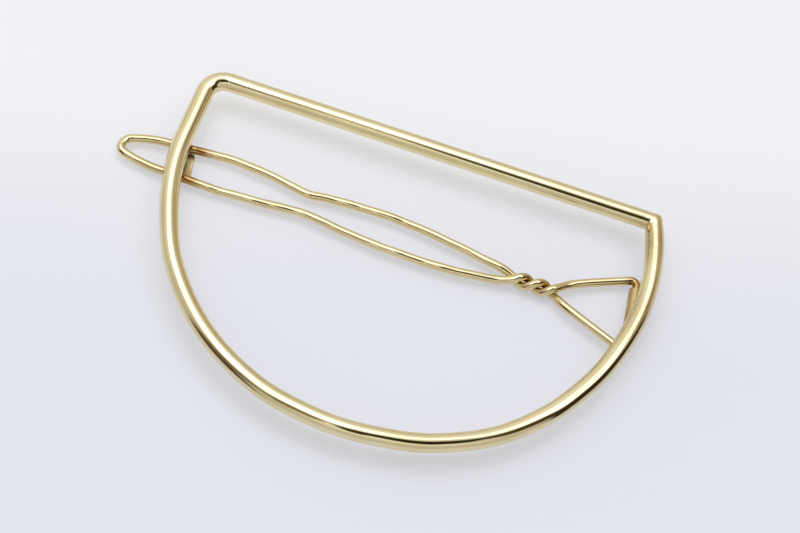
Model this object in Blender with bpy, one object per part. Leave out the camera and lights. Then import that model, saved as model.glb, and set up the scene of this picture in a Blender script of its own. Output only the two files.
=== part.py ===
"""A half-moon hair clip bent from wire, with a hinged twisted-wire clasp behind it.

The clip lies on its back. X runs along the straight bar, the arc bulges towards -Y and the front
faces +Z. Each piece is planned on the frame's own axes, x from the arc's middle and y from the
bar, with z from the plane of the frame's wire, and is then shifted to the part's origin, which is
the middle of its footprint at the lowest point. Lengths are in metres.
"""
import math

import bmesh
import bpy
from mathutils import Matrix, Vector

MM = 0.001

# The frame: one thick wire bent to a D, with its two ends brazed in a mitre.
FRAME_WIRE = 2.4 * MM
ARC_RADIUS = 30.7 * MM
ARC_CENTRE_DROP = 10.25 * MM
BAR_OVERHANG = 1.46 * MM
BEND_INSIDE = 1.4 * MM
MITRE_LIMIT_SHARE = 1.2
FRAME_SIDES = 20
ARC_STEPS = 64
BEND_STEPS = 6

# The hinge tube, brazed behind the frame at the mitre's end of the arc.
TUBE_WALL = 0.26 * MM
TUBE_LENGTH = 7.5 * MM
TUBE_EDGE = 0.08 * MM
TUBE_DROP = 12.7 * MM
TUBE_INSET = 0.85 * MM
TUBE_LEAN = math.radians(5.8)
TUBE_SIDES = 24
BRAZE_GAP = 0.2 * MM

# The clasp: one spring wire from the tube's upper end round the tip to its lower end.
CLASP_WIRE = 1.1 * MM
PIN_CLEARANCE = 0.09 * MM
PIN_END_GAP = 1.1 * MM
CORNER_OVERRUN = 1.48 * MM
CORNER_INSIDE = 0.2 * MM
NECK_DISTANCE = 10.45 * MM
SHOULDER_RUN = 2.25 * MM
SHOULDER_SPREAD = 3.42 * MM
TWIST_PITCH_SHARE = 4.1
TWIST_GAP = 0.1 * MM
TWIST_LEAD_SHARE = 0.1
LEG_SPREAD = 4.84 * MM
NECK_SWAY_SHARE = -0.033
LATCH_SPREAD_SHARE = 0.88
LATCH_SWAY_SHARE = 0.161
LATCH_CLEARANCE = 0.7 * MM
TIP_REACH = 8.1 * MM
FLEX_GAP = 0.08 * MM
CLASP_SIDES = 12
SMOOTH_STEPS = 12
CORNER_STEPS = 7
TWIST_STEPS = 12
MAX_TURN = math.radians(7)
MAX_STEP = 3.5 * MM

# From the neck's end to the catch: distance, then spread and sway across the clasp.
LEG_STATION_SHARES = (
    (0.053, 0.36, -0.033),
    (0.124, 0.575, -0.025),
    (0.216, 0.79, -0.003),
    (0.308, 0.905, 0.055),
    (0.396, 0.935, 0.083),
    (0.487, 0.86, 0.117),
    (0.577, 0.71, 0.142),
    (0.635, 0.585, 0.131),
    (0.695, 0.725, 0.165),
    (0.787, 0.91, 0.187),
    (0.895, 1.0, 0.192),
)
# From the catch to the tip: distance as a share of the tip's reach, then spread and sway.
TIP_STATION_SHARES = (
    (0.4, 0.835, 0.161),
    (0.775, 0.6, 0.135),
    (0.93, 0.42, 0.115),
    (0.985, 0.23, 0.087),
)
TIP_SWAY_SHARE = 0.062
# Where the legs part from the neck and from the tip, so that they can spring apart.
FLEX_ROOT_SHARE = 0.075
FLEX_END_SHARE = 0.52

# The catch: a sheet tab that hooks back between the legs and widens into a head behind them.
CATCH_SHEET = 0.45 * MM
CATCH_FOLD_INSIDE = 0.22 * MM
CATCH_EDGE = 0.07 * MM
CATCH_BACKSET = 0.85 * MM
CATCH_NECK_CLEARANCE = 0.3 * MM
CATCH_FOOT = 1.9 * MM
CATCH_HEAD = 3.1 * MM
CATCH_SHOULDER = 0.35 * MM
HEAD_HOLD = 0.4 * MM
HEAD_CLEARANCE = 0.1 * MM
HEAD_CORNER = 0.5 * MM
FOLD_STEPS = 4
HEAD_CORNER_STEPS = 3

# Finishes as name, colour, roughness.
GILT_METALLIC = 1.0
FRAME_FINISH = ("frame_gilt", (0.86, 0.76, 0.47, 1.0), 0.10)
TUBE_FINISH = ("tube_gilt", (0.82, 0.68, 0.38, 1.0), 0.18)
CATCH_FINISH = ("catch_gilt", (0.82, 0.66, 0.36, 1.0), 0.16)
CLASP_FINISH = ("clasp_gilt", (0.85, 0.73, 0.43, 1.0), 0.12)
SHARP_ANGLE = math.radians(40)

FRAME_RADIUS = FRAME_WIRE / 2
CLASP_RADIUS = CLASP_WIRE / 2
BORE_RADIUS = CLASP_RADIUS + PIN_CLEARANCE
TUBE_RADIUS = BORE_RADIUS + TUBE_WALL
BEND_RADIUS = BEND_INSIDE + FRAME_RADIUS
CORNER_RADIUS = CORNER_INSIDE + CLASP_RADIUS
FOLD_RADIUS = CATCH_FOLD_INSIDE + CATCH_SHEET / 2
TWIST_LENGTH = CLASP_WIRE * TWIST_PITCH_SHARE


def arc_reach(y):
    """How far the arc's wire axis lies from the middle at height y."""
    rise = y + ARC_CENTRE_DROP
    return math.sqrt(ARC_RADIUS ** 2 - rise ** 2)


BAR_RIGHT_REACH = arc_reach(0)
BAR_LEFT_REACH = arc_reach(0) + BAR_OVERHANG
HINGE_X = arc_reach(-TUBE_DROP) - TUBE_INSET
HINGE_Y = -TUBE_DROP
HINGE_Z = -(FRAME_RADIUS + BRAZE_GAP + TUBE_RADIUS)
HINGE = Vector((HINGE_X, HINGE_Y, HINGE_Z))
HINGE_AXIS = Vector((-math.sin(TUBE_LEAN), math.cos(TUBE_LEAN), 0))

LATCH_SPREAD = LEG_SPREAD * LATCH_SPREAD_SHARE
LATCH_Z = -(FRAME_RADIUS + LATCH_CLEARANCE + CLASP_RADIUS)
CATCH_Y = HINGE_Y + LEG_SPREAD * LATCH_SWAY_SHARE
CATCH_BACK_X = -arc_reach(CATCH_Y) - CATCH_BACKSET
CATCH_X = CATCH_BACK_X + CATCH_HEAD / 2
FOOT_Z = -(FRAME_RADIUS + BRAZE_GAP + CATCH_SHEET / 2)
HEAD_Z = LATCH_Z - CLASP_RADIUS - HEAD_CLEARANCE - CATCH_SHEET / 2

NECK_END = NECK_DISTANCE + TWIST_LENGTH
LATCH_DISTANCE = HINGE_X - CATCH_X
TIP_DISTANCE = LATCH_DISTANCE + TIP_REACH

RIGHT_EDGE = ARC_RADIUS + FRAME_RADIUS
LEFT_EDGE = HINGE_X - TIP_DISTANCE - CLASP_RADIUS
FRONT_EDGE = -(ARC_CENTRE_DROP + ARC_RADIUS + FRAME_RADIUS)
ORIGIN = Vector((
    (LEFT_EDGE + RIGHT_EDGE) / 2,
    (FRONT_EDGE + FRAME_RADIUS) / 2,
    HEAD_Z - CATCH_SHEET / 2,
))


def clear_scene():
    for old in list(bpy.data.objects):
        bpy.data.objects.remove(old, do_unlink=True)


def make_material(finish):
    name, colour, roughness = finish
    material = bpy.data.materials.new(name)
    material.use_nodes = True
    shader = material.node_tree.nodes["Principled BSDF"]
    shader.inputs["Base Color"].default_value = colour
    shader.inputs["Metallic"].default_value = GILT_METALLIC
    shader.inputs["Roughness"].default_value = roughness
    return material


def add_piece(name, rings, finish, pivot, closed=False):
    """Joins rings of points into one solid whose origin is at pivot, and places it."""
    mesh = bpy.data.meshes.new(name)
    bm = bmesh.new()
    loops = [[bm.verts.new(point - pivot) for point in ring] for ring in rings]
    pairs = list(zip(loops, loops[1:]))
    if closed:
        pairs.append((loops[-1], loops[0]))
    for near, far in pairs:
        for i in range(len(near)):
            j = (i + 1) % len(near)
            bm.faces.new((near[i], near[j], far[j], far[i]))
    if not closed:
        bm.faces.new(reversed(loops[0]))
        bm.faces.new(loops[-1])
    bmesh.ops.recalc_face_normals(bm, faces=bm.faces)
    bm.to_mesh(mesh)
    bm.free()
    mesh.shade_smooth()
    mesh.set_sharp_from_angle(angle=SHARP_ANGLE)
    mesh.materials.append(make_material(finish))
    piece = bpy.data.objects.new(name, mesh)
    piece.location = pivot - ORIGIN
    bpy.context.scene.collection.objects.link(piece)
    return piece


def circle_section(radius, sides):
    """Points of a round section, turned so that a flat side faces straight up and down."""
    turns = [(i + 1 / 2) / sides * math.tau for i in range(sides)]
    return [(radius * math.sin(turn), radius * math.cos(turn)) for turn in turns]


def strip_section(across, thickness, edge):
    """Points of a flat strip's section, as wide as twice across, with its four edges broken."""
    through = thickness / 2
    corners = []
    for side, face in ((1, 1), (-1, 1), (-1, -1), (1, -1)):
        long_point = (side * across, face * (through - edge))
        short_point = (side * (across - edge), face * through)
        corners += [long_point, short_point] if side == face else [short_point, long_point]
    return corners


def round_corner(before, corner, after, radius, steps):
    """Points of an arc that rounds the corner between two straight runs."""
    to_before = (before - corner).normalized()
    to_after = (after - corner).normalized()
    half = to_before.angle(to_after) / 2
    centre = corner + (to_before + to_after).normalized() * (radius / math.sin(half))
    start = corner + to_before * (radius / math.tan(half)) - centre
    axis = to_after.cross(to_before).normalized()
    sweep = math.pi - 2 * half
    return [centre + Matrix.Rotation(sweep * i / steps, 3, axis) @ start for i in range(steps + 1)]


def smooth_curve(points, steps):
    """Points of a smooth curve that passes through the given ones, bar the first and last."""
    curve = [points[1]]
    for p0, p1, p2, p3 in zip(points, points[1:], points[2:], points[3:]):
        knots = [0]
        for a, b in ((p0, p1), (p1, p2), (p2, p3)):
            knots.append(knots[-1] + math.sqrt((b - a).length))
        t0, t1, t2, t3 = knots
        for i in range(1, steps + 1):
            t = t1 + (t2 - t1) * i / steps
            a1 = p0.lerp(p1, (t - t0) / (t1 - t0))
            a2 = p1.lerp(p2, (t - t1) / (t2 - t1))
            a3 = p2.lerp(p3, (t - t2) / (t3 - t2))
            b1 = a1.lerp(a2, (t - t0) / (t2 - t0))
            b2 = a2.lerp(a3, (t - t1) / (t3 - t1))
            curve.append(b1.lerp(b2, (t - t1) / (t2 - t1)))
    return curve


def mitre_at(path, i, out, closed):
    """The sideways step that a section takes at a point of a flat path, and if it turns left."""
    count = len(path)
    back = path[i] - path[i - 1] if closed or i > 0 else path[1] - path[0]
    ahead = path[(i + 1) % count] - path[i] if closed or i < count - 1 else back
    back_side = out.cross(back).normalized()
    ahead_side = out.cross(ahead).normalized()
    mitre = (back_side + ahead_side) / (1 + back_side.dot(ahead_side))
    return mitre, back.cross(ahead).dot(out) > 0


def loop_rings(path, section, out):
    """Rings of a section along a closed flat path, with the outside of sharp corners cut short."""
    rings = []
    for i, point in enumerate(path):
        mitre, turns_left = mitre_at(path, i, out, True)
        limit = min(1, MITRE_LIMIT_SHARE / mitre.length)
        ring = []
        for along, across in section:
            outer = (across < 0) == turns_left
            ring.append(point + out * along + mitre * across * (limit if outer else 1))
        rings.append(ring)
    return rings


def strip_rings(path, widths, out):
    """Rings of a strip along an open flat path, with half its width at each point."""
    rings = []
    for i, (point, across) in enumerate(zip(path, widths)):
        mitre, _ = mitre_at(path, i, out, False)
        section = strip_section(across, CATCH_SHEET, CATCH_EDGE)
        rings.append([point + out * a + mitre * b for a, b in section])
    return rings


def wire_rings(path, radius, sides):
    """Rings of a round wire along a path that turns in space, without twisting the section."""
    section = circle_section(radius, sides)
    rings = []
    up = Vector((0, 0, 1))
    for i, point in enumerate(path):
        ahead = path[min(i + 1, len(path) - 1)] - path[max(i - 1, 0)]
        ahead.normalize()
        up = (up - ahead * up.dot(ahead)).normalized()
        side = ahead.cross(up)
        rings.append([point + up * a + side * b for a, b in section])
    return rings


def thin_out(path):
    """Keeps the points that the wire's bends need, and drops the others."""
    kept = [path[0]]
    heading = path[1] - path[0]
    for i in range(1, len(path) - 1):
        turned = heading.angle(path[i + 1] - path[i])
        if turned > MAX_TURN or (path[i + 1] - kept[-1]).length > MAX_STEP:
            kept.append(path[i])
            heading = path[i + 1] - path[i]
    kept.append(path[-1])
    return kept


def frame_path():
    """The D's wire axis: the bar, the bend, a short straight run and the arc, as one loop."""
    bar_end = Vector((BAR_RIGHT_REACH, 0, 0))
    bend_corner = Vector((-BAR_LEFT_REACH, 0, 0))
    centre = Vector((0, -ARC_CENTRE_DROP, 0))
    to_corner = bend_corner - centre
    tangent_turn = math.acos(ARC_RADIUS / to_corner.length)
    start = math.atan2(to_corner.y, to_corner.x) + tangent_turn
    end = math.atan2(ARC_CENTRE_DROP, BAR_RIGHT_REACH) + math.tau
    arc = []
    for i in range(ARC_STEPS + 1):
        turn = start + (end - start) * i / ARC_STEPS
        arc.append(centre + ARC_RADIUS * Vector((math.cos(turn), math.sin(turn), 0)))
    bend = round_corner(bar_end, bend_corner, arc[0], BEND_RADIUS, BEND_STEPS)
    # The mitre's neighbours stay clear of its inner crease.
    bar_start = bar_end - Vector((FRAME_RADIUS, 0, 0))
    return [bar_end, bar_start] + bend + arc[:-1]


def clasp_point(distance, across, height=0):
    """A point of the clasp: its distance from the hinge, its place across, its rise."""
    slope = (LATCH_Z - HINGE_Z) / LATCH_DISTANCE
    return HINGE + Vector((-distance, across, slope * distance + height))


def pin_and_side(side):
    """One end of the clasp's wire, from inside the tube round its corner to the neck."""
    pin_end = HINGE + HINGE_AXIS * side * PIN_END_GAP / 2
    corner = HINGE + HINGE_AXIS * side * (TUBE_LENGTH / 2 + CORNER_OVERRUN)
    shoulder = clasp_point(NECK_DISTANCE - SHOULDER_RUN, side * SHOULDER_SPREAD / 2)
    bend = round_corner(pin_end, corner, shoulder, CORNER_RADIUS, CORNER_STEPS)
    return [pin_end] + bend, shoulder


def twist_point(side, share):
    """A point of one strand, at a share of the twist, the upper end's strand in front first."""
    radius = CLASP_RADIUS + TWIST_GAP / 2
    turn = share * math.tau
    distance = NECK_DISTANCE + TWIST_LENGTH * share
    across = LEG_SPREAD * NECK_SWAY_SHARE - side * radius * math.sin(turn)
    return clasp_point(distance, across, side * radius * math.cos(turn))


def strand_path(side):
    """One end of the wire as far as the legs: pin, corner, shoulder and its share of the twist."""
    pin, shoulder = pin_and_side(side)
    lead = TWIST_LEAD_SHARE
    last = TWIST_STEPS
    shares = [-lead] + [i / last for i in range(last + 1)] + [1 + lead]
    twist = [twist_point(side, share) for share in shares]
    return pin, [shoulder] + twist


def leg_stations(side):
    """Points of one leg from the neck to the catch and on towards the tip."""
    points = []
    leg = LATCH_DISTANCE - NECK_END
    for along, spread, sway in LEG_STATION_SHARES:
        across = LEG_SPREAD * (side * spread / 2 + sway)
        points.append(clasp_point(NECK_END + leg * along, across))
    latch_across = side * LATCH_SPREAD / 2 + LEG_SPREAD * LATCH_SWAY_SHARE
    points.append(clasp_point(LATCH_DISTANCE, latch_across))
    for along, spread, sway in TIP_STATION_SHARES:
        across = LEG_SPREAD * (side * spread / 2 + sway)
        points.append(clasp_point(LATCH_DISTANCE + TIP_REACH * along, across))
    return points


def clasp_path():
    """The clasp's whole wire: upper pin, twist, lower leg, tip, upper leg, twist, lower pin."""
    upper_pin, upper_strand = strand_path(1)
    lower_pin, lower_strand = strand_path(-1)
    tip = clasp_point(TIP_DISTANCE, LEG_SPREAD * TIP_SWAY_SHARE)
    middle = upper_strand + leg_stations(-1) + [tip]
    middle += leg_stations(1)[::-1] + lower_strand[::-1]
    guide = [upper_pin[-1]] + middle + [lower_pin[-1]]
    guide = [upper_pin[-2]] + guide + [lower_pin[-2]]
    return upper_pin[:-1] + smooth_curve(guide, SMOOTH_STEPS) + lower_pin[:-1][::-1]


def cut_wire(path, distances):
    """Cuts the wire's path where it passes the given distances from the hinge, with a gap."""
    pieces = [[]]
    cuts = list(distances)
    for a, b in zip(path, path[1:]):
        pieces[-1].append(a)
        if not cuts:
            continue
        near, far = HINGE_X - a.x, HINGE_X - b.x
        if (near - cuts[0]) * (far - cuts[0]) < 0:
            place = a.lerp(b, (cuts[0] - near) / (far - near))
            half_gap = (b - a).normalized() * (FLEX_GAP / 2)
            pieces[-1].append(place - half_gap)
            pieces.append([place + half_gap])
            cuts.pop(0)
    pieces[-1].append(path[-1])
    return pieces


def build_frame():
    section = circle_section(FRAME_RADIUS, FRAME_SIDES)
    rings = loop_rings(frame_path(), section, Vector((0, 0, 1)))
    add_piece("frame", rings, FRAME_FINISH, Vector((0, 0, 0)), closed=True)


def build_tube():
    """A plain tube with its edges broken, lying along the hinge's axis."""
    half = TUBE_LENGTH / 2
    profile = (
        (TUBE_RADIUS, -half + TUBE_EDGE),
        (TUBE_RADIUS, half - TUBE_EDGE),
        (TUBE_RADIUS - TUBE_EDGE, half),
        (BORE_RADIUS + TUBE_EDGE, half),
        (BORE_RADIUS, half - TUBE_EDGE),
        (BORE_RADIUS, -half + TUBE_EDGE),
        (BORE_RADIUS + TUBE_EDGE, -half),
        (TUBE_RADIUS - TUBE_EDGE, -half),
    )
    up = Vector((0, 0, 1))
    side = HINGE_AXIS.cross(up)
    rings = []
    for radius, along in profile:
        centre = HINGE + HINGE_AXIS * along
        section = circle_section(radius, TUBE_SIDES)
        rings.append([centre + up * a + side * b for a, b in section])
    add_piece("hinge_tube", rings, TUBE_FINISH, HINGE, closed=True)


def head_half_width(along):
    """Half the width of the catch's sheet, at a distance along it from the start of its head."""
    neck = LATCH_SPREAD / 2 - CLASP_RADIUS - CATCH_NECK_CLEARANCE
    head = LATCH_SPREAD / 2 - CLASP_RADIUS + HEAD_HOLD
    return neck + (head - neck) * min(1, max(0, along / CATCH_SHOULDER))


def build_catch():
    """The sheet runs from its foot on the frame back round two folds to the head's free end."""
    foot_end = Vector((CATCH_BACK_X + CATCH_FOOT, CATCH_Y, FOOT_Z))
    foot_fold = Vector((CATCH_BACK_X, CATCH_Y, FOOT_Z))
    head_fold = Vector((CATCH_BACK_X, CATCH_Y, HEAD_Z))
    head_end = Vector((CATCH_BACK_X + CATCH_HEAD, CATCH_Y, HEAD_Z))
    path = [foot_end] + round_corner(foot_end, foot_fold, head_fold, FOLD_RADIUS, FOLD_STEPS)
    path += round_corner(foot_fold, head_fold, head_end, FOLD_RADIUS, FOLD_STEPS)
    widths = [head_half_width(0)] * len(path)
    head_start = path[-1]
    for along in (CATCH_SHOULDER / 2, CATCH_SHOULDER):
        path.append(head_start + Vector((along, 0, 0)))
        widths.append(head_half_width(along))
    for i in range(HEAD_CORNER_STEPS + 1):
        turn = i / HEAD_CORNER_STEPS * math.pi / 2
        back = HEAD_CORNER * (1 - math.sin(turn))
        path.append(head_end - Vector((back, 0, 0)))
        widths.append(head_half_width(CATCH_SHOULDER) - HEAD_CORNER * (1 - math.cos(turn)))
    rings = strip_rings(path, widths, Vector((0, 1, 0)))
    add_piece("catch", rings, CATCH_FINISH, foot_end)


def build_clasp():
    """The wire in five lengths: the legs flex between the neck and the tip."""
    leg = LATCH_DISTANCE - NECK_END
    root = NECK_END + leg * FLEX_ROOT_SHARE
    end = LATCH_DISTANCE + TIP_REACH * FLEX_END_SHARE
    lengths = cut_wire(clasp_path(), (root, end, end, root))
    names = (
        "clasp_strand_upper",
        "clasp_leg_lower",
        "clasp_tip",
        "clasp_leg_upper",
        "clasp_strand_lower",
    )
    for name, path in zip(names, lengths):
        rings = wire_rings(thin_out(path), CLASP_RADIUS, CLASP_SIDES)
        pivots = {"clasp_leg_lower": path[0], "clasp_leg_upper": path[-1]}
        add_piece(name, rings, CLASP_FINISH, pivots.get(name, HINGE))


def main():
    clear_scene()
    build_frame()
    build_tube()
    build_catch()
    build_clasp()


main()
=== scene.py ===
"""The looks of a half-moon hair clip: polished pale gold wire on a white table, in soft light.

Sizes are in metres. The clip is planned on the frame's own axes, as its solids are: x from the
arc's middle and y from the straight bar, z from the plane of the thick wire.
"""
import math

import bmesh
import bpy
from mathutils import Matrix, Vector, noise


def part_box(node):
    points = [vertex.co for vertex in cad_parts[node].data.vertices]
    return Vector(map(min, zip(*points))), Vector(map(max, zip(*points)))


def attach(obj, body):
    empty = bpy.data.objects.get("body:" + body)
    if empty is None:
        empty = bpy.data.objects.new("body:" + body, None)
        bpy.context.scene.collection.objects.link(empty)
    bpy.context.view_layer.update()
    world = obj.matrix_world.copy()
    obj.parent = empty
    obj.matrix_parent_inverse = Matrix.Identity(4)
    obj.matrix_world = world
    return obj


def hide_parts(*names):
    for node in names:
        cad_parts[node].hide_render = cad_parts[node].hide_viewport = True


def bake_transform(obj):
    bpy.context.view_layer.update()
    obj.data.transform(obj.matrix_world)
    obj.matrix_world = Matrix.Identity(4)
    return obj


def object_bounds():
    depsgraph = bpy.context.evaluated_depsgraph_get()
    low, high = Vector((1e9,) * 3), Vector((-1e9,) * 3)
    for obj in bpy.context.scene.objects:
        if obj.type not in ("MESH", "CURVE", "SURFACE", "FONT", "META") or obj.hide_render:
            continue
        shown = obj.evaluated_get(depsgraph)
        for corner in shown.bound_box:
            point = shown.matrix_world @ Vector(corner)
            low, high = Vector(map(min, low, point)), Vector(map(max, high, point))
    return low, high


MM = 0.001
UP = Vector((0, 0, 1))

# The thick wire of the D, as in the solid model.
FRAME_RADIUS = 1.2 * MM
ARC_RADIUS = 30.7 * MM
ARC_CENTRE_DROP = 10.25 * MM
BAR_OVERHANG = 1.46 * MM
BAR_WAY = Vector((-1, 0, 0))
BEND_RADIUS = 2.6 * MM

# The mitre's rounding, from the outside of the corner to its inner crease.
MITRE_OUTER_ROUND = 0.75 * MM
MITRE_INNER_ROUND = 0.3 * MM
MITRE_STEPS = 9
FRAME_SIDES = 64
ARC_STEPS = 360
BEND_STEPS = 24
MITRE_CLEAR_SHARE = 1.15
FRAME_STEP = 0.35 * MM
# The arc was bent by hand: at these turns from +X, in degrees, it strays outwards by so many mm.
ARC_WANDER = (
    (-180, 0), (-160, -0.1), (-147, 0.12), (-128, 0.2), (-111, 0.08), (-97, -0.2), (-82, -0.26),
    (-68, 0), (-54, 0.19), (-42, 0.05), (-30, -0.15), (-15, -0.24), (4, -0.02), (20, 0),
)

# The hinge tube, as in the solid model.
BORE_RADIUS = 0.64 * MM
TUBE_RADIUS = 0.9 * MM
TUBE_LENGTH = 7.5 * MM
TUBE_EDGE = 0.12 * MM
TUBE_DROP = 12.7 * MM
TUBE_INSET = 0.85 * MM
TUBE_LEAN = math.radians(5.8)
TUBE_SIDES = 64
BRAZE_GAP = 0.2 * MM

# The clasp's wire, as in the solid model.
CLASP_RADIUS = 0.55 * MM
PIN_END_GAP = 1.1 * MM
CORNER_OVERRUN = 1.48 * MM
CORNER_RADIUS = 0.75 * MM
NECK_DISTANCE = 10.45 * MM
SHOULDER_RUN = 2.25 * MM
SHOULDER_SPREAD = 3.42 * MM
TWIST_LENGTH = 4.51 * MM
TWIST_GAP = 0.1 * MM
TWIST_LEAD_SHARE = 0.1
LEG_SPREAD = 4.84 * MM
NECK_SWAY_SHARE = -0.033
LATCH_SPREAD_SHARE = 0.88
LATCH_SWAY_SHARE = 0.161
LATCH_CLEARANCE = 0.7 * MM
TIP_REACH = 8.1 * MM
CLASP_SIDES = 40
SMOOTH_STEPS = 40
CORNER_STEPS = 16
TWIST_STEPS = 12
WIRE_STEP = 0.14 * MM
# Stations of the legs: how far along, how far apart the legs are and how far both sway aside. The
# first are shares of a leg's length from the neck to the catch, the others of the tip's reach.
LEG_STATION_SHARES = (
    (0.053, 0.36, -0.033),
    (0.124, 0.575, -0.025),
    (0.216, 0.79, -0.003),
    (0.308, 0.905, 0.055),
    (0.396, 0.935, 0.083),
    (0.487, 0.86, 0.117),
    (0.577, 0.71, 0.142),
    (0.635, 0.585, 0.131),
    (0.695, 0.725, 0.165),
    (0.787, 0.91, 0.187),
    (0.895, 1.0, 0.192),
)
TIP_STATION_SHARES = (
    (0.4, 0.835, 0.161),
    (0.775, 0.6, 0.135),
    (0.93, 0.42, 0.115),
    (0.985, 0.23, 0.087),
)
TIP_SWAY_SHARE = 0.062
# The legs' wire strays a little from its curve, as bent wire does. Each wave has a length, a size
# and start across and a size and start in height. The starts are in radians.
LEG_WAVES = (
    (5.3 * MM, 0.010 * MM, 0.8, 0.024 * MM, 0.6),
    (3.1 * MM, 0.004 * MM, 2.3, 0.010 * MM, 5.3),
    (8.9 * MM, 0.016 * MM, 4.1, 0.032 * MM, 4.2),
)
LEG_WAVES_EASE = 3 * MM
FLEX_ROOT_SHARE = 0.075

# The catch's sheet, as in the solid model.
CATCH_SHEET = 0.45 * MM
CATCH_FOLD_RADIUS = 0.445 * MM
CATCH_EDGE = 0.11 * MM
CATCH_BACKSET = 0.85 * MM
CATCH_NECK_CLEARANCE = 0.3 * MM
CATCH_FOOT = 1.9 * MM
CATCH_HEAD = 3.1 * MM
CATCH_SHOULDER = 0.35 * MM
HEAD_HOLD = 0.4 * MM
HEAD_CLEARANCE = 0.1 * MM
HEAD_CORNER = 0.5 * MM
# The head's end was cut a little askew: its side towards the bar is shorter by this.
HEAD_SKEW = 0.55 * MM
EDGE_STEPS = 5
FOLD_STEPS = 10

# The beads of braze: as length, width across the seam and height out of it.
MITRE_BEAD = (1.5 * MM, 0.62 * MM, 0.5 * MM)
MITRE_BEAD_TURN = math.radians(52)
TUBE_BEAD = (5.2 * MM, 1.4 * MM, 0.7 * MM)
CATCH_BEAD = (2.3 * MM, 1.7 * MM, 0.8 * MM)
BEAD_STEPS = 24
BEAD_SIDES = 28
BEAD_LUMP = 0.34 * MM
BEAD_LUMP_SHARE = 0.3

# Finishes as light tone, deep tone, roughness and depth of the dents.
FRAME_FINISH = ((0.85, 0.745, 0.46, 1), (0.79, 0.685, 0.40, 1), 0.07, 0.006 * MM)
TUBE_FINISH = ((0.66, 0.50, 0.24, 1), (0.55, 0.39, 0.16, 1), 0.34, 0.006 * MM)
# The catch's tones are darker than the wires': painted shade, as it lies under the frame wire and behind
# the legs, on a duller finish of its own.
CATCH_FINISH_AND_SHADE = ((0.64, 0.55, 0.32, 1), (0.54, 0.44, 0.23, 1), 0.34, 0.014 * MM)
CLASP_FINISH = ((0.81, 0.695, 0.415, 1), (0.745, 0.62, 0.345, 1), 0.08, 0.002 * MM)
BRAZE_FINISH = ((0.66, 0.44, 0.19, 1), (0.42, 0.22, 0.07, 1), 0.26, 0.02 * MM)
# Orange-brown on the plating: heat tint in places, elsewhere painted shade and painted warm
# reflections of the gold nearby. How deep the colour is and how far it reaches.
HEAT_AND_SHADE_TONE = (0.37, 0.2, 0.05, 1)
# On the arc's inner side below the mitre: a painted warm reflection of the gold beside it.
MITRE_PAINTED_REFLECTION = (0.5, 4.2 * MM)
MITRE_PAINTED_REFLECTION_DROP = 2.2 * MM
# On the arc's inner side over the tube: painted shade and a painted warm reflection of the tube.
ARC_PAINTED_SHADE_AT_TUBE = (0.3, 5.5 * MM)
# Where the legs pass the catch: painted shade from the frame above and a painted reflection of the
# catch.
UPPER_LEG_PAINTED_SHADE = (1, 2.8 * MM)
LOWER_LEG_PAINTED_SHADE = (1, 2.5 * MM)
# At the catch head's corner by the lower leg: heat tint and painted shade.
HEAD_HEAT_AND_SHADE = (1, 3.1 * MM)
# The legs' painted shade at the catch: how far before it the spots sit, and a broad faint spread.
LEG_PAINTED_SHADE_BACK = 0.9 * MM
LEG_PAINTED_SHADE_WIDE = (0.35, 6.5 * MM)
WARM_CORNER = (1, 2.3 * MM)
# In the twist: painted shade and warm reflection where a strand turns behind the other.
TWIST_PAINTED_SHADE = (1, 1.7 * MM)
# On which strand of the twist, and at which share of its length.
TWIST_PAINTED_SHADE_SHARES = ((1, 0.69), (-1, 0.15))
# The share of its reach at which the colour is full, and the least that its blotches keep of it.
WARM_CORE_SHARE = 0.25
WARM_LEAST_SHARE = 0.55
# Patterns of soft clouds: their scale and detail, and for some the range of their values used.
WARM_BLOTCHES = (1400, 2, 0.35, 0.6)
TONE_CLOUDS = (180, 3, 0.35, 0.65)
POLISH_CLOUDS = (1500, 4, 0.3, 0.7)
DENT_CLOUDS = (330, 2)
LINE_CLOUDS = (7, 3)
# The least and most that the polish's clouds make of a finish's roughness.
POLISH_SHARES = (0.7, 1.4)
# The drawing lines run along the wire, so their clouds are stretched that way.
LINE_STRETCH_SHARE = 0.04
LINE_DEPTH = 0.0015 * MM
WIRE_PLACE = "wire_place"
SHARP_TURN = math.radians(35)

# The table and the light. Radiance 1 is white.
FLOOR_HALF = 1.2
FLOOR_CLOUDS = (14, 2)
FLOOR_TONE_SHARE = 0.08
# The table's tone goes from near to far along this way, between the two ends: painted light,
# darker at the front and brighter at the back.
FLOOR_NEAR = (0.832, 0.849, 0.908, 1)
FLOOR_FAR = (0.966, 0.978, 1.0, 1)
FLOOR_WAY = (-0.28, 0.96, 0)
FLOOR_NEAR_END = -10 * MM
FLOOR_FAR_END = 36 * MM
FLOOR_SHOWN_SHARE = 0.47
FLOOR_ROUGHNESS = 0.22
FLOOR_IOR = 1.5
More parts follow.
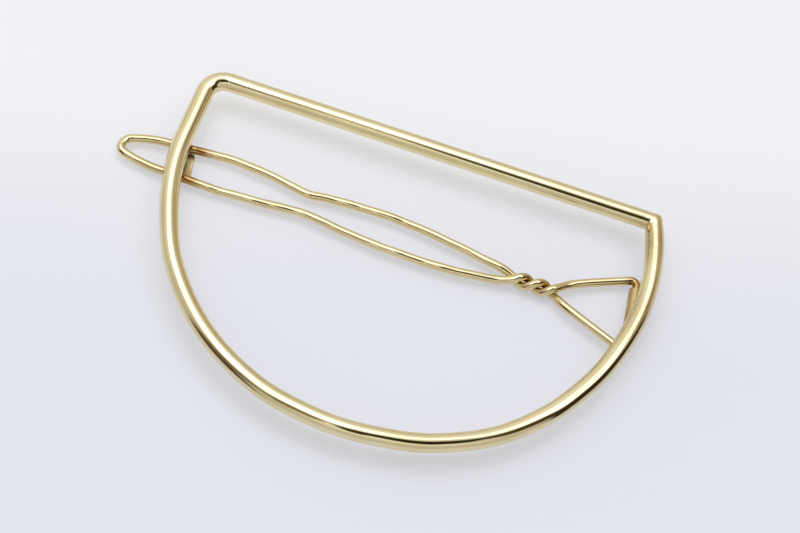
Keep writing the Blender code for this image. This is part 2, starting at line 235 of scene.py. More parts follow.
# The studio: a pale room with a soft panel of light above and dark cloths beside it, seen only in
# the metal. Each patch is a soft oval of the sky: turn from +X and angle from straight up of its
# middle, turn of its long axis, its half length and half width, all in degrees, the softness of its
# edge as a share, and its radiance. Later ones lie over earlier ones.
ROOM_COLOUR = (0.59, 0.575, 0.55, 1)
ROOM_PATCHES = (
    ("far_wall", 50, 68, 138, 32, 28, 0.3, (0.5, 0.425, 0.34, 1)),
    ("glow", 125, 32, 140, 44, 36, 0.5, (0.92, 0.91, 0.89, 1)),
    ("glow_near", 285, 50, 15, 30, 10, 0.5, (0.88, 0.87, 0.84, 1)),
    ("glow_line", 260, 34, 170, 9, 6, 0.4, (1.0, 0.98, 0.94, 1)),
    ("panel", 157, 18, 80, 24, 18.5, 0.15, (2.0, 2.03, 2.3, 1)),
    ("panel_end", 42, 28, 335, 28, 11, 0.15, (1.85, 1.87, 2.05, 1)),
    ("shade", 238, 44, 0, 14, 6, 0.35, (0.22, 0.2, 0.16, 1)),
    ("cloth_leg", 249, 36, 249, 18, 5.5, 0.3, (0.25, 0.22, 0.155, 1)),
    ("cloth_high", 346, 37, 345, 27, 10, 0.3, (0.07, 0.055, 0.025, 1)),
    ("cloth_right", 1.5, 88, 1.5, 44, 21.5, 0.15, (0.04, 0.027, 0.014, 1)),
    ("cloth_near", 303, 24, 297, 17, 13, 0.2, (0.03, 0.027, 0.012, 1)),
    ("cloth_line", 272.2, 31, 98, 14, 3.8, 0.25, (0.05, 0.043, 0.025, 1)),
    ("cloth_edge", 33, 58, 123, 7, 6, 0.4, (0.2, 0.16, 0.1, 1)),
    ("cloth_left", 219, 86, 219, 46, 14, 0.3, (0.16, 0.115, 0.075, 1)),
    ("cloth_left_deep", 226, 94, 316, 17, 18, 0.2, (0.02, 0.015, 0.01, 1)),
)
# The angle from straight up of a level direction.
LEVEL_FALL = 90

# The camera, fitted to the photograph: its place, its turns about x, y and z in degrees, and its
# lens and sensor in millimetres.
CAMERA_PLACE = Vector((9.274, -147.422, 238.932)) * MM
CAMERA_TURNS = (27.751, -7.08, 17.107)
CAMERA_LENS = 99.01
CAMERA_NEAREST = 10 * MM
SENSOR_WIDTH = 36

# A Mix node's two colours and its mixed colour, among its sockets.
MIX_FIRST = 6
MIX_SECOND = 7
MIX_RESULT = 2


def arc_reach(y):
    """How far the arc's wire axis lies from the middle at height y."""
    rise = y + ARC_CENTRE_DROP
    return math.sqrt(ARC_RADIUS ** 2 - rise ** 2)


BAR_RIGHT_REACH = arc_reach(0)
BAR_LEFT_REACH = arc_reach(0) + BAR_OVERHANG
HINGE_X = arc_reach(-TUBE_DROP) - TUBE_INSET
HINGE_Z = -(FRAME_RADIUS + BRAZE_GAP + TUBE_RADIUS)
HINGE = Vector((HINGE_X, -TUBE_DROP, HINGE_Z))
HINGE_AXIS = Vector((-math.sin(TUBE_LEAN), math.cos(TUBE_LEAN), 0))

LATCH_SPREAD = LEG_SPREAD * LATCH_SPREAD_SHARE
LATCH_Z = -(FRAME_RADIUS + LATCH_CLEARANCE + CLASP_RADIUS)
CATCH_Y = HINGE.y + LEG_SPREAD * LATCH_SWAY_SHARE
CATCH_BACK_X = -arc_reach(CATCH_Y) - CATCH_BACKSET
CATCH_X = CATCH_BACK_X + CATCH_HEAD / 2
FOOT_Z = -(FRAME_RADIUS + BRAZE_GAP + CATCH_SHEET / 2)
HEAD_Z = LATCH_Z - CLASP_RADIUS - HEAD_CLEARANCE - CATCH_SHEET / 2

NECK_END = NECK_DISTANCE + TWIST_LENGTH
LATCH_DISTANCE = HINGE_X - CATCH_X
TIP_DISTANCE = LATCH_DISTANCE + TIP_REACH
LEG_LENGTH = LATCH_DISTANCE - NECK_END

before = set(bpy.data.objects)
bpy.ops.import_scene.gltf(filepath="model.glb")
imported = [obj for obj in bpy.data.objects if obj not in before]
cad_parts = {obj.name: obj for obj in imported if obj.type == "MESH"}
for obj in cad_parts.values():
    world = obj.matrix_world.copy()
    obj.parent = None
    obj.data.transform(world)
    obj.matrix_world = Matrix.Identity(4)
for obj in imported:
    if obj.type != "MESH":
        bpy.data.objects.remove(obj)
cad_low, cad_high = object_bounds()

# The tube is brazed in one place, so its box gives the shift from the plan to the part's origin.
tube_low, tube_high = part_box("hinge_tube")
ORIGIN = HINGE - (tube_low + tube_high) / 2
FLOOR_Z = cad_low.z


def link(obj):
    bpy.context.scene.collection.objects.link(obj)
    return obj


def round_corner(before, corner, after, radius, steps):
    """Points of an arc that rounds the corner between two straight runs."""
    to_before = (before - corner).normalized()
    to_after = (after - corner).normalized()
    half = to_before.angle(to_after) / 2
    centre = corner + (to_before + to_after).normalized() * (radius / math.sin(half))
    start = corner + to_before * (radius / math.tan(half)) - centre
    axis = to_after.cross(to_before).normalized()
    sweep = math.pi - 2 * half
    return [centre + Matrix.Rotation(sweep * i / steps, 3, axis) @ start for i in range(steps + 1)]


def smooth_curve(points, steps):
    """Points of a smooth curve that passes through the given ones, bar the first and last."""
    curve = [points[1]]
    for p0, p1, p2, p3 in zip(points, points[1:], points[2:], points[3:]):
        knots = [0]
        for a, b in ((p0, p1), (p1, p2), (p2, p3)):
            knots.append(knots[-1] + math.sqrt((b - a).length))
        t0, t1, t2, t3 = knots
        for i in range(1, steps + 1):
            t = t1 + (t2 - t1) * i / steps
            a1 = p0.lerp(p1, (t - t0) / (t1 - t0))
            a2 = p1.lerp(p2, (t - t1) / (t2 - t1))
            a3 = p2.lerp(p3, (t - t2) / (t3 - t2))
            b1 = a1.lerp(a2, (t - t0) / (t2 - t0))
            b2 = a2.lerp(a3, (t - t1) / (t3 - t1))
            curve.append(b1.lerp(b2, (t - t1) / (t2 - t1)))
    return curve


def resample(path, step):
    """Points an even step apart along a path, with both of its ends."""
    runs = [0]
    for a, b in zip(path, path[1:]):
        runs.append(runs[-1] + (b - a).length)
    count = max(2, round(runs[-1] / step))
    even, i = [], 0
    for k in range(count + 1):
        place = runs[-1] * k / count
        while i < len(path) - 2 and runs[i + 1] < place:
            i += 1
        even.append(path[i].lerp(path[i + 1], (place - runs[i]) / (runs[i + 1] - runs[i])))
    return even


def smoothstep(value, low, high):
    share = min(1, max(0, (value - low) / (high - low)))
    return share * share * (3 - 2 * share)


def circle_section(radius, sides):
    """Points of a round section, as steps up and sideways."""
    turns = [i / sides * math.tau for i in range(sides)]
    return [(radius * math.cos(turn), radius * math.sin(turn)) for turn in turns]


def wire_rings(path, section):
    """Rings of a section along a path that turns in space, without twisting it."""
    rings = []
    up = UP
    for i, point in enumerate(path):
        ahead = (path[min(i + 1, len(path) - 1)] - path[max(i - 1, 0)]).normalized()
        up = (up - ahead * up.dot(ahead)).normalized()
        side = ahead.cross(up)
        rings.append([point + up * a + side * b for a, b in section])
    return rings


def make_piece(name, rings, material, closed=False, caps=(True, True), run_from=0):
    """Joins rings of points, given on the plan's axes, into one smooth mesh.

    Each vertex also holds its place on the wire: round it, as two shares of its radius, and along.
    """
    count = len(rings[0])
    vertices = [point - ORIGIN for ring in rings for point in ring]
    faces = []
    last = len(rings) if closed else len(rings) - 1
    for i in range(last):
        near, far = i * count, (i + 1) % len(rings) * count
        for j in range(count):
            k = (j + 1) % count
            faces.append((near + j, near + k, far + k, far + j))
    if not closed and caps[0]:
        faces.append(tuple(reversed(range(count))))
    if not closed and caps[1]:
        faces.append(tuple(range(len(vertices) - count, len(vertices))))
    mesh = bpy.data.meshes.new(name)
    mesh.from_pydata(vertices, [], faces)
    bm = bmesh.new()
    bm.from_mesh(mesh)
    bmesh.ops.recalc_face_normals(bm, faces=bm.faces)
    bm.to_mesh(mesh)
    bm.free()
    mesh.shade_smooth()
    mesh.set_sharp_from_angle(angle=SHARP_TURN)
    mesh.materials.append(material)
    places, run = [], run_from
    for i, ring in enumerate(rings):
        run += (ring[0] - rings[i - 1][0]).length if i else 0
        for j in range(count):
            turn = j / count * math.tau
            places += (math.cos(turn), math.sin(turn), run / MM)
    attribute = mesh.attributes.new(WIRE_PLACE, "FLOAT_VECTOR", "POINT")
    attribute.data.foreach_set("vector", places)
    return link(bpy.data.objects.new(name, mesh))


def dressed(piece, material_slot, *nodes):
    """The piece stands for the nodes, which are hidden; the material slot is not used."""
    if nodes:
        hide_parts(*nodes)
    return piece


def fitted(piece, body, material_slot, *nodes):
    """The piece rides on a body and stands for the nodes, which are hidden; the material slot is not
    used.
    """
    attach(piece, body)
    return dressed(piece, material_slot, *nodes)


def wander_at(turn):
    """How far the hand-bent arc strays outwards at a turn in degrees, eased between the set steps."""
    for (t0, s0), (t1, s1) in zip(ARC_WANDER, ARC_WANDER[1:]):
        if t0 <= turn <= t1:
            return (s0 + (s1 - s0) * smoothstep(turn, t0, t1)) * MM
    return 0


def frame_runs():
    """The D's wire axis from just after the mitre, round the bend and the arc, to just before it."""
    bar_end = Vector((BAR_RIGHT_REACH, 0, 0))
    bend_corner = Vector((-BAR_LEFT_REACH, 0, 0))
    centre = Vector((0, -ARC_CENTRE_DROP, 0))
    to_corner = bend_corner - centre
    tangent_turn = math.acos(ARC_RADIUS / to_corner.length)
    start = math.atan2(to_corner.y, to_corner.x) + tangent_turn
    clear = FRAME_RADIUS * MITRE_CLEAR_SHARE
    end = math.atan2(ARC_CENTRE_DROP, BAR_RIGHT_REACH) + math.tau - clear / ARC_RADIUS
    arc = []
    for i in range(ARC_STEPS + 1):
        turn = start + (end - start) * i / ARC_STEPS
        reach = ARC_RADIUS + wander_at(math.degrees(turn - math.tau))
        arc.append(centre + reach * Vector((math.cos(turn), math.sin(turn), 0)))
    bend = round_corner(bar_end, bend_corner, arc[0], BEND_RADIUS, BEND_STEPS)
    bar = resample([bar_end - Vector((clear, 0, 0)), bend[0]], FRAME_STEP)
    run = resample([bend[-1], arc[0]], FRAME_STEP)
    return bar[:-1] + bend + run[1:-1] + arc


def mitre_ways():
    """At the mitre: the way the arc arrives, and the way out along the seam.

    A step of one outwards along the seam is a step of one out of each of the two wires.
    """
    turn = math.atan2(ARC_CENTRE_DROP, BAR_RIGHT_REACH)
    arriving = Vector((-math.sin(turn), math.cos(turn), 0))
    outwards = (arriving.cross(UP) + BAR_WAY.cross(UP)) / (1 + arriving.dot(BAR_WAY))
    return arriving, outwards


def mitre_rings(section):
    """Rings that carry the wire round the brazed mitre, rounder outside than in the crease."""
    corner = Vector((BAR_RIGHT_REACH, 0, 0))
    arriving, outwards = mitre_ways()
    lines = []
    for rise, across in section:
        point = corner + UP * rise + outwards * across
        share = (across / FRAME_RADIUS + 1) / 2
        rounding = MITRE_INNER_ROUND + (MITRE_OUTER_ROUND - MITRE_INNER_ROUND) * share
        lines.append(round_corner(point - arriving, point, point + BAR_WAY, rounding, MITRE_STEPS))
    return [[line[i] for line in lines] for i in range(MITRE_STEPS + 1)]


def make_frame(material):
    section = circle_section(FRAME_RADIUS, FRAME_SIDES)
    rings = wire_rings(frame_runs(), section) + mitre_rings(section)
    piece = make_piece("frame_wire", rings, material, closed=True)
    return fitted(piece, "frame", "frame_gilt", "frame")


def make_tube(material):
    """The hinge's barrel: a short cut of tube with its rims rounded by the tumbling."""
    half = TUBE_LENGTH / 2
    outer_rim, inner_rim = [], []
    for i in range(EDGE_STEPS + 1):
        turn = i / EDGE_STEPS * math.pi / 2
        near, far = TUBE_EDGE * (1 - math.cos(turn)), TUBE_EDGE * (1 - math.sin(turn))
        outer_rim.append((TUBE_RADIUS - near, half - far))
        inner_rim.append((BORE_RADIUS + far, half - near))
    profile = outer_rim + inner_rim
    profile += [(radius, -along) for radius, along in reversed(profile)]
    side = HINGE_AXIS.cross(UP)
    rings = []
    for radius, along in profile:
        centre = HINGE + HINGE_AXIS * along
        rings.append([centre + UP * a + side * b for a, b in circle_section(radius, TUBE_SIDES)])
    piece = make_piece("hinge_barrel", rings, material, closed=True)
    return fitted(piece, "frame", "tube_gilt", "hinge_tube")


def head_half_width(along):
    """Half the width of the catch's sheet, at a distance along it from the start of its head."""
    neck = LATCH_SPREAD / 2 - CLASP_RADIUS - CATCH_NECK_CLEARANCE
    head = LATCH_SPREAD / 2 - CLASP_RADIUS + HEAD_HOLD
    return neck + (head - neck) * smoothstep(along, 0, CATCH_SHOULDER)


def sheet_section(across, thickness, edge):
    """Points of a sheet's section, as steps through and across, with rounded edges."""
    through = thickness / 2
    points = []
    for start, (a, b) in enumerate(((1, 1), (-1, 1), (-1, -1), (1, -1))):
        centre = (a * (through - edge), b * (across - edge))
        for i in range(EDGE_STEPS + 1):
            turn = (start + i / EDGE_STEPS) * math.pi / 2
            points.append((centre[0] + edge * math.cos(turn), centre[1] + edge * math.sin(turn)))
    return points


def catch_steps():
    """Points along the catch's sheet, each with half its width, and how many precede its head."""
    foot_end = Vector((CATCH_BACK_X + CATCH_FOOT, CATCH_Y, FOOT_Z))
    foot_fold = Vector((CATCH_BACK_X, CATCH_Y, FOOT_Z))
    head_fold = Vector((CATCH_BACK_X, CATCH_Y, HEAD_Z))
    head_end = Vector((CATCH_BACK_X + CATCH_HEAD, CATCH_Y, HEAD_Z))
    path = [foot_end]
    path += round_corner(foot_end, foot_fold, head_fold, CATCH_FOLD_RADIUS, FOLD_STEPS)
    path += round_corner(foot_fold, head_fold, head_end, CATCH_FOLD_RADIUS, FOLD_STEPS)
    steps = [(point, head_half_width(0)) for point in path]
    head_start = path[-1]
    for i in range(1, FOLD_STEPS + 1):
        along = CATCH_SHOULDER * i / FOLD_STEPS
        steps.append((head_start + Vector((along, 0, 0)), head_half_width(along)))
    for i in range(FOLD_STEPS + 1):
        turn = i / FOLD_STEPS * math.pi / 2
        back = HEAD_CORNER * (1 - math.sin(turn))
        width = head_half_width(CATCH_SHOULDER) - HEAD_CORNER * (1 - math.cos(turn))
        steps.append((head_end - Vector((back, 0, 0)), width))
    return steps, len(path)


def make_catch(material):
    """A stamped sheet tab: a foot on the frame, two folds and a head behind the legs."""
    steps, head_first = catch_steps()
    head_start, head_end = steps[head_first - 1][0], steps[-1][0]
    out = Vector((0, 1, 0))
    full_width = head_half_width(CATCH_SHOULDER)
    rings = []
    for i, (point, width) in enumerate(steps):
        before, after = steps[max(i - 1, 0)][0], steps[min(i + 1, len(steps) - 1)][0]
        normal = out.cross((after - before).normalized())
        reach = (point.x - head_start.x) / (head_end.x - head_start.x) if i >= head_first else 0
        ring = []
        for a, b in sheet_section(width, CATCH_SHEET, CATCH_EDGE):
            back = HEAD_SKEW * reach * (1 + b / full_width) / 2
            ring.append(point + normal * a + out * b - Vector((back, 0, 0)))
        rings.append(ring)
    piece = make_piece("catch_hook", rings, material)
    return fitted(piece, "frame", "catch_gilt", "catch")


def make_bead(name, middle, ahead, outwards, size, material, material_slot):
    """A bead of braze along a seam, thickest in its middle and lumpy, as it froze."""
    length, width, height = size
    ahead = ahead.normalized()
    outwards = (outwards - ahead * outwards.dot(ahead)).normalized()
    across = ahead.cross(outwards)
    rings = []
    for i in range(1, BEAD_STEPS):
        turn = math.pi * i / BEAD_STEPS
        centre = middle - ahead * length / 2 * math.cos(turn)
        ring = []
        for a, b in circle_section(math.sin(turn) / 2, BEAD_SIDES):
            offset = outwards * height * a + across * width * b
            lump = 1 + BEAD_LUMP_SHARE * noise.noise((centre + offset) / BEAD_LUMP)
            ring.append(centre + offset * lump)
        rings.append(ring)
    return fitted(make_piece(name, rings, material), "frame", material_slot)


def make_beads(material):
    """The braze that closes the mitre and holds the tube and the catch's foot under the wire."""
    arriving = mitre_ways()[0]
    out = UP.cross(arriving) * math.sin(MITRE_BEAD_TURN) + UP * math.cos(MITRE_BEAD_TURN)
    crease = Vector((BAR_RIGHT_REACH, 0, 0)) + out * FRAME_RADIUS - arriving * FRAME_RADIUS
    make_bead("mitre_braze", crease, arriving, out, MITRE_BEAD, material, "frame_gilt")
    to_wire = Vector((TUBE_INSET, 0, -HINGE_Z))
    gap = to_wire.length - FRAME_RADIUS - TUBE_RADIUS
    seam = HINGE + to_wire.normalized() * (TUBE_RADIUS + gap / 2)
    make_bead("tube_braze", seam, HINGE_AXIS, to_wire, TUBE_BEAD, material, "tube_gilt")
    foot = Vector((-arc_reach(CATCH_Y), CATCH_Y, -(FRAME_RADIUS + BRAZE_GAP / 2)))
    make_bead("catch_braze", foot, Vector((0, 1, 0)), UP, CATCH_BEAD, material, "catch_gilt")


def clasp_point(distance, across, height=0):
    """A point of the clasp: its distance from the hinge, its place across, its rise."""
    slope = (LATCH_Z - HINGE_Z) / LATCH_DISTANCE
    return HINGE + Vector((-distance, across, slope * distance + height))


def pin_and_side(side):
    """One end of the clasp's wire, from inside the tube round its corner to the neck."""
    pin_end = HINGE + HINGE_AXIS * side * PIN_END_GAP / 2
    corner = HINGE + HINGE_AXIS * side * (TUBE_LENGTH / 2 + CORNER_OVERRUN)
    shoulder = clasp_point(NECK_DISTANCE - SHOULDER_RUN, side * SHOULDER_SPREAD / 2)
    bend = round_corner(pin_end, corner, shoulder, CORNER_RADIUS, CORNER_STEPS)
    return [pin_end] + bend, shoulder


def twist_point(side, share):
    """A point of one strand, at a share of the twist, the upper end's strand in front first."""
    radius = CLASP_RADIUS + TWIST_GAP / 2
    turn = share * math.tau
    distance = NECK_DISTANCE + TWIST_LENGTH * share
    across = LEG_SPREAD * NECK_SWAY_SHARE - side * radius * math.sin(turn)
    return clasp_point(distance, across, side * radius * math.cos(turn))


def strand_path(side):
    """One end of the wire as far as the legs: pin, corner, shoulder and its share of the twist."""
    pin, shoulder = pin_and_side(side)
    shares = [-TWIST_LEAD_SHARE]
    shares += [i / TWIST_STEPS for i in range(TWIST_STEPS + 1)]
    shares += [1 + TWIST_LEAD_SHARE]
    return pin, [shoulder] + [twist_point(side, share) for share in shares]


def leg_point(side, distance, spread, sway):
    """A point of one leg: its distance from the hinge, and its shares of the legs' spread and sway."""
    return clasp_point(distance, LEG_SPREAD * (side * spread / 2 + sway))


def latch_point(side, before=0):
    """Where a leg passes the catch, or so far before it."""
    return leg_point(side, LATCH_DISTANCE - before, LATCH_SPREAD_SHARE, LATCH_SWAY_SHARE)


def leg_stations(side):
    """Points of one leg from the neck to the catch and on towards the tip."""
    points = []
    for along, spread, sway in LEG_STATION_SHARES:
        points.append(leg_point(side, NECK_END + LEG_LENGTH * along, spread, sway))
    points.append(latch_point(side))
    for along, spread, sway in TIP_STATION_SHARES:
        points.append(leg_point(side, LATCH_DISTANCE + TIP_REACH * along, spread, sway))
    return points


def strayed(point, run):
    """A point of the clasp's path, so far along the wire, moved by the small waves of its legs."""
    moved = Vector((0, 0, 0))
    for length, width, start, height, height_start in LEG_WAVES:
        turn = math.tau * run / length
        across, rise = width * math.sin(turn + start), height * math.cos(turn + height_start)
        moved += Vector((0, across, rise))
    return point + moved * smoothstep(HINGE_X - point.x, NECK_END, NECK_END + LEG_WAVES_EASE)


def clasp_path():
    """The clasp's whole wire: upper pin, twist, lower leg, tip, upper leg, twist, lower pin."""
    upper_pin, upper_strand = strand_path(1)
    lower_pin, lower_strand = strand_path(-1)
    tip = clasp_point(TIP_DISTANCE, LEG_SPREAD * TIP_SWAY_SHARE)
    middle = upper_strand + leg_stations(-1) + [tip]
    middle += leg_stations(1)[::-1] + lower_strand[::-1]
    guide = [upper_pin[-1]] + middle + [lower_pin[-1]]
    guide = [upper_pin[-2]] + guide + [lower_pin[-2]]
    path = upper_pin[:-1] + smooth_curve(guide, SMOOTH_STEPS) + lower_pin[:-1][::-1]
    return [strayed(point, i * WIRE_STEP) for i, point in enumerate(resample(path, WIRE_STEP))]


def make_clasp(material):
    """One wire in six lengths that meet ring on ring: its two ends ride on the clasp, the four lengths
    of its legs stand alone.
    """
    path = clasp_path()
    rings = wire_rings(path, circle_section(CLASP_RADIUS, CLASP_SIDES))
    distances = [HINGE_X - point.x for point in path]
    tip = distances.index(max(distances))
    root_distance = NECK_END + LEG_LENGTH * FLEX_ROOT_SHARE
    middle_distance = NECK_END + LEG_LENGTH / 2

    def ring_at(distance, among):
        """Which of these rings lies nearest to a distance from the hinge."""
        return min(among, key=lambda i: abs(distances[i] - distance))

    out, back = range(tip), range(tip, len(path))
    cuts = [0, ring_at(root_distance, out), ring_at(middle_distance, out), tip]
    cuts += [ring_at(middle_distance, back), ring_at(root_distance, back), len(path) - 1]
    lengths = (
        ("clasp_end_upper", "clasp_strand_upper"),
        ("clasp_leg_lower_root", "clasp_leg_lower"),
        ("clasp_leg_lower_tip", "clasp_leg_lower", "clasp_tip"),
        ("clasp_leg_upper_tip", "clasp_leg_upper", "clasp_tip"),
        ("clasp_leg_upper_root", "clasp_leg_upper"),
        ("clasp_end_lower", "clasp_strand_lower"),
    )
    for (name, *nodes), start, end in zip(lengths, cuts, cuts[1:]):
        caps = (start == 0, end == len(path) - 1)
        piece = make_piece(name, rings[start:end + 1], material, caps=caps, run_from=start * WIRE_STEP)
        if name.endswith("_root"):
            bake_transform(piece)
        elif name.endswith("_tip"):
            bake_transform(piece)
        else:
            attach(piece, "clasp")
        dressed(piece, "clasp_gilt", *nodes)


def frame_painted_shade_spots():
    """Where shade and warm reflections are painted on the thick wire: place, depth and reach of the
    colour.
    """
    arriving, outwards = mitre_ways()
    corner = Vector((BAR_RIGHT_REACH, 0, 0))
    inside = corner - outwards * FRAME_RADIUS - arriving * MITRE_PAINTED_REFLECTION_DROP
    under = HINGE - HINGE_AXIS * TUBE_LENGTH / 4 - UP * HINGE_Z
    return [(inside, *MITRE_PAINTED_REFLECTION), (under, *ARC_PAINTED_SHADE_AT_TUBE)]


def catch_heat_and_shade_spots():
    """Where heat tint and painted shade show on the catch: at its head's corner next to the lower leg.
    """
    corner = Vector((CATCH_HEAD / 2, -head_half_width(CATCH_SHOULDER), 0))
    return [(Vector((CATCH_X, CATCH_Y, HEAD_Z)) + corner, *HEAD_HEAT_AND_SHADE)]


def clasp_heat_and_shade_spots():
    """Where orange-brown shows on the thin wire: painted shade and reflection at the catch and in the
    twist, heat tint at the tube's upper end.
    """
    spots = []
    for side, (depth, reach) in ((1, UPPER_LEG_PAINTED_SHADE), (-1, LOWER_LEG_PAINTED_SHADE)):
        spots.append((latch_point(side, LEG_PAINTED_SHADE_BACK), depth, reach))
        spots.append((latch_point(side), *LEG_PAINTED_SHADE_WIDE))
    corner = HINGE + HINGE_AXIS * (TUBE_LENGTH + CORNER_OVERRUN) / 2
    spots.append((corner, *WARM_CORNER))
    for side, share in TWIST_PAINTED_SHADE_SHARES:
        spots.append((twist_point(side, share), *TWIST_PAINTED_SHADE))
    return spots


def add_node(tree, kind, **settings):
    node = tree.nodes.new("ShaderNode" + kind)
    for name, value in settings.items():
        setattr(node, name, value)
    return node


def feed(tree, socket, value):
    """Gives a socket a plain value, or links it to another node's output."""
    if isinstance(value, bpy.types.NodeSocket):
        tree.links.new(value, socket)
    else:
        socket.default_value = value


def maths(tree, operation, *values):
    node = add_node(tree, "Math", operation=operation)
    for socket, value in zip(node.inputs, values):
        feed(tree, socket, value)
    return node.outputs["Value"]


def vector_maths(tree, operation, first, second):
    node = add_node(tree, "VectorMath", operation=operation)
    feed(tree, node.inputs[0], first)
    feed(tree, node.inputs[1], second)
    return node.outputs["Vector" if operation == "MULTIPLY" else "Value"]


def ranged(tree, value, low, high, to_low, to_high, smooth=False):
    """A value moved from one range to another, and kept inside it."""
    node = add_node(tree, "MapRange", interpolation_type="SMOOTHSTEP" if smooth else "LINEAR")
    for name, number in (("From Min", low), ("From Max", high), ("To Min", to_low), ("To Max", to_high)):
        node.inputs[name].default_value = number
    feed(tree, node.inputs["Value"], value)
    return node.outputs["Result"]


def mixed(tree, share, first, second):
    """A colour that goes from the first to the second with the share."""
    node = add_node(tree, "Mix", data_type="RGBA")
    feed(tree, node.inputs["Factor"], share)
    feed(tree, node.inputs[MIX_FIRST], first)
    feed(tree, node.inputs[MIX_SECOND], second)
    return node.outputs[MIX_RESULT]


def clouds(tree, place, scale, detail):
    node = add_node(tree, "TexNoise")
    node.inputs["Scale"].default_value = scale
    node.inputs["Detail"].default_value = detail
    feed(tree, node.inputs["Vector"], place)
    return node.outputs["Fac"]


def clouded(tree, place, pattern, to_low, to_high):
    """A value that runs with a pattern's clouds, from one end of a range to the other."""
    scale, detail, low, high = pattern
    return ranged(tree, clouds(tree, place, scale, detail), low, high, to_low, to_high)


def bumped(tree, height, distance, normal=None):
    node = add_node(tree, "Bump")
    node.inputs["Distance"].default_value = distance
    node.inputs["Strength"].default_value = 1
    feed(tree, node.inputs["Height"], height)
    if normal is not None:
        feed(tree, node.inputs["Normal"], normal)
    return node.outputs["Normal"]


def new_material(name):
    """A new material, with its nodes and its shader."""
    material = bpy.data.materials.new(name)
    material.use_nodes = True
    return material, material.node_tree, material.node_tree.nodes["Principled BSDF"]


def heat_and_shade_tinted(tree, place, colour, heat_and_shade_spots):
    """The colour with blotchy orange-brown at each of the places, as heat tint and as painted shade and
    reflection.
    """
    for spot, depth, reach in heat_and_shade_spots:
        away = vector_maths(tree, "DISTANCE", place, spot - ORIGIN)
        near = ranged(tree, away, reach, reach * WARM_CORE_SHARE, 0, depth, smooth=True)
        blotches = clouded(tree, place, WARM_BLOTCHES, WARM_LEAST_SHARE, 1)
        colour = mixed(tree, maths(tree, "MULTIPLY", near, blotches), colour, HEAT_AND_SHADE_TONE)
    return colour


def gilt(name, finish, heat_and_shade_spots=()):
    """Polished plating: faint drawing lines, clouded polish and slight dents, all procedural."""
    light, deep, roughness, dent = finish
    material, tree, shader = new_material(name)
    shader.inputs["Metallic"].default_value = 1
    place = add_node(tree, "TexCoord").outputs["Object"]
    tone = mixed(tree, clouded(tree, place, TONE_CLOUDS, 0, 1), deep, light)
    # The tone takes the orange-brown spots: heat tint, and painted shade and reflection.
    tree.links.new(heat_and_shade_tinted(tree, place, tone, heat_and_shade_spots), shader.inputs["Base Color"])
    least, most = POLISH_SHARES
    polish = clouded(tree, place, POLISH_CLOUDS, roughness * least, roughness * most)
    tree.links.new(polish, shader.inputs["Roughness"])
    wire = add_node(tree, "Attribute", attribute_name=WIRE_PLACE).outputs["Vector"]
    drawn = vector_maths(tree, "MULTIPLY", wire, (1, 1, LINE_STRETCH_SHARE))
    dents = bumped(tree, clouds(tree, place, *DENT_CLOUDS), dent)
    lines = bumped(tree, clouds(tree, drawn, *LINE_CLOUDS), LINE_DEPTH, dents)
    tree.links.new(lines, shader.inputs["Normal"])
    return material


def floor_material():
    """A plain pale table with painted light, a little brighter at the back, and a faint unevenness of
    tone.

    What the camera and the metal see of it is partly its own even tone, which keeps shadows faint.
    """
    material, tree, shader = new_material("pale_table")
    shader.inputs["Roughness"].default_value = FLOOR_ROUGHNESS
    shader.inputs["IOR"].default_value = FLOOR_IOR
    place = add_node(tree, "TexCoord").outputs["Object"]
    along = vector_maths(tree, "DOT_PRODUCT", place, FLOOR_WAY)
    backwards = ranged(tree, along, FLOOR_NEAR_END, FLOOR_FAR_END, 0, 1, smooth=True)
    unevenness = clouds(tree, place, *FLOOR_CLOUDS)
    tone_share = maths(tree, "MULTIPLY_ADD", unevenness, FLOOR_TONE_SHARE, backwards)
    tone = mixed(tree, tone_share, FLOOR_NEAR, FLOOR_FAR)
    tree.links.new(tone, shader.inputs["Base Color"])
    shown = add_node(tree, "Emission")
    tree.links.new(tone, shown.inputs["Color"])
    path = add_node(tree, "LightPath").outputs
    seen = maths(tree, "MAXIMUM", path["Is Camera Ray"], path["Is Glossy Ray"])
    seen = maths(tree, "MAXIMUM", seen, path["Is Transmission Ray"])
    gloss = add_node(tree, "Fresnel")
    gloss.inputs["IOR"].default_value = FLOOR_IOR
    matt = ranged(tree, gloss.outputs["Fac"], 0, 1, FLOOR_SHOWN_SHARE, 0)
    both = add_node(tree, "MixShader")
    tree.links.new(maths(tree, "MULTIPLY", seen, matt), both.inputs["Fac"])
    tree.links.new(shader.outputs["BSDF"], both.inputs[1])
    tree.links.new(shown.outputs["Emission"], both.inputs[2])
    tree.links.new(both.outputs["Shader"], tree.nodes["Material Output"].inputs["Surface"])
    return material


def make_floor():
    mesh = bpy.data.meshes.new("table")
    half = FLOOR_HALF
    corners = [(x * half, y * half, FLOOR_Z) for x, y in ((-1, -1), (1, -1), (1, 1), (-1, 1))]
    mesh.from_pydata(corners, [], [(0, 1, 2, 3)])
    mesh.materials.append(floor_material())
    link(bpy.data.objects.new("table", mesh))


def sky_direction(turn, fall):
    """The direction at a turn from +X and an angle from straight up, both in degrees."""
    turn, fall = math.radians(turn), math.radians(fall)
    return Vector((math.sin(fall) * math.cos(turn), math.sin(fall) * math.sin(turn), math.cos(fall)))


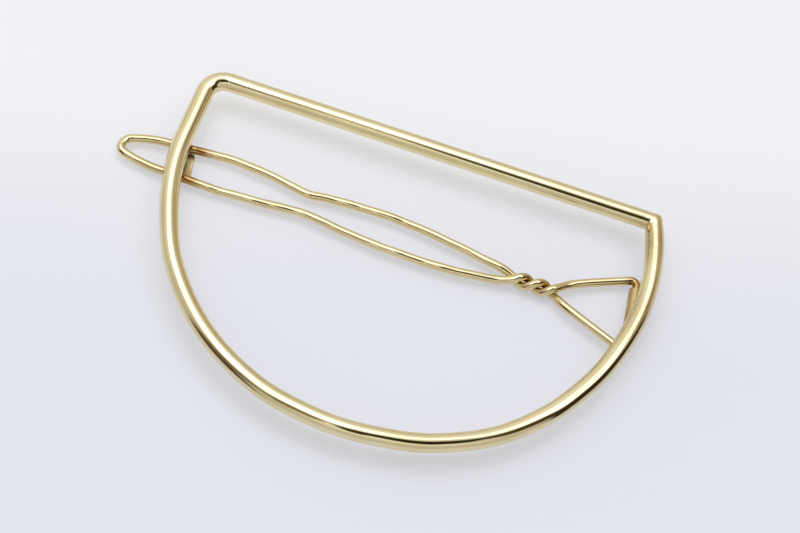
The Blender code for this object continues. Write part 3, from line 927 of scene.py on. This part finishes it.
def patch_share(tree, place, turn, fall, lean, half_length, half_width, blur):
    """How much of a patch a place of the sky holds, from 0 outside it to 1 in its middle."""
    centre = sky_direction(turn, fall)
    level = sky_direction(lean, LEVEL_FALL)
    along = (level - centre * level.dot(centre)).normalized()
    squares = []
    for axis, half in ((along, half_length), (centre.cross(along), half_width)):
        reach = vector_maths(tree, "DOT_PRODUCT", place, axis)
        reach = maths(tree, "MULTIPLY", reach, 1 / math.sin(math.radians(half)))
        squares.append(maths(tree, "POWER", reach, 2))
    away = maths(tree, "SQRT", maths(tree, "ADD", *squares))
    inside = ranged(tree, away, 1 + blur, 1 - blur, 0, 1, smooth=True)
    facing = maths(tree, "GREATER_THAN", vector_maths(tree, "DOT_PRODUCT", place, centre), 0)
    return maths(tree, "MULTIPLY", inside, facing)


def make_room():
    """The light: a pale room as a smooth sky of soft oval patches, later ones over earlier ones."""
    world = bpy.data.worlds.new("room")
    bpy.context.scene.world = world
    world.use_nodes = True
    tree = world.node_tree
    place = add_node(tree, "TexCoord").outputs["Generated"]
    colour = ROOM_COLOUR
    for name, *shape, radiance in ROOM_PATCHES:
        colour = mixed(tree, patch_share(tree, place, *shape), colour, radiance)
        colour.node.label = name
    tree.links.new(colour, tree.nodes["Background"].inputs["Color"])


def make_camera():
    camera = bpy.data.cameras.new("camera")
    camera.lens = CAMERA_LENS
    camera.sensor_width = SENSOR_WIDTH
    camera.clip_start = CAMERA_NEAREST
    obj = link(bpy.data.objects.new("camera", camera))
    obj.location = CAMERA_PLACE - ORIGIN
    obj.rotation_euler = [math.radians(turn) for turn in CAMERA_TURNS]
    bpy.context.scene.camera = obj


def main():
    make_camera()
    make_floor()
    make_room()
    make_frame(gilt("frame_plating", FRAME_FINISH, frame_painted_shade_spots()))
    make_tube(gilt("tube_plating", TUBE_FINISH))
    make_catch(gilt("catch_plating", CATCH_FINISH_AND_SHADE, catch_heat_and_shade_spots()))
    make_clasp(gilt("clasp_plating", CLASP_FINISH, clasp_heat_and_shade_spots()))
    make_beads(gilt("braze", BRAZE_FINISH))
    bpy.context.scene.view_settings.view_transform = "Standard"


main()
